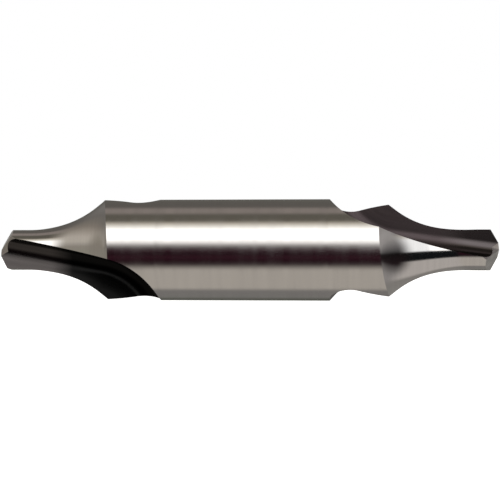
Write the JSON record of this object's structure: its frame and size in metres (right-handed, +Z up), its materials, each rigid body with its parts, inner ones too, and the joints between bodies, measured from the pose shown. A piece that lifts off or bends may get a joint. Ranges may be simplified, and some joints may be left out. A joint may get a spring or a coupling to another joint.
{
  "type": "centre drill",
  "caption": "Double-ended centre drill with a slim fluted pilot and a curved countersinking form at each end of a round ground shank.",
  "frame": {"origin": "middle of the drill, on its axis", "axes": "+X along the drill's axis towards one of its two points, which is the right-hand point in the picture; +Z up and +Y away from the viewer as the picture shows the drill lying"},
  "size_m": [0.0618, 0.0126, 0.0126],
  "materials": {
    "ground_tool_steel": "bright ground all over, with fine grinding lines round the shank and the form, and darker ground flutes"
  },
  "bodies": {
    "root": {"centre_drill": "ground_tool_steel"}
  },
  "joints": []
}
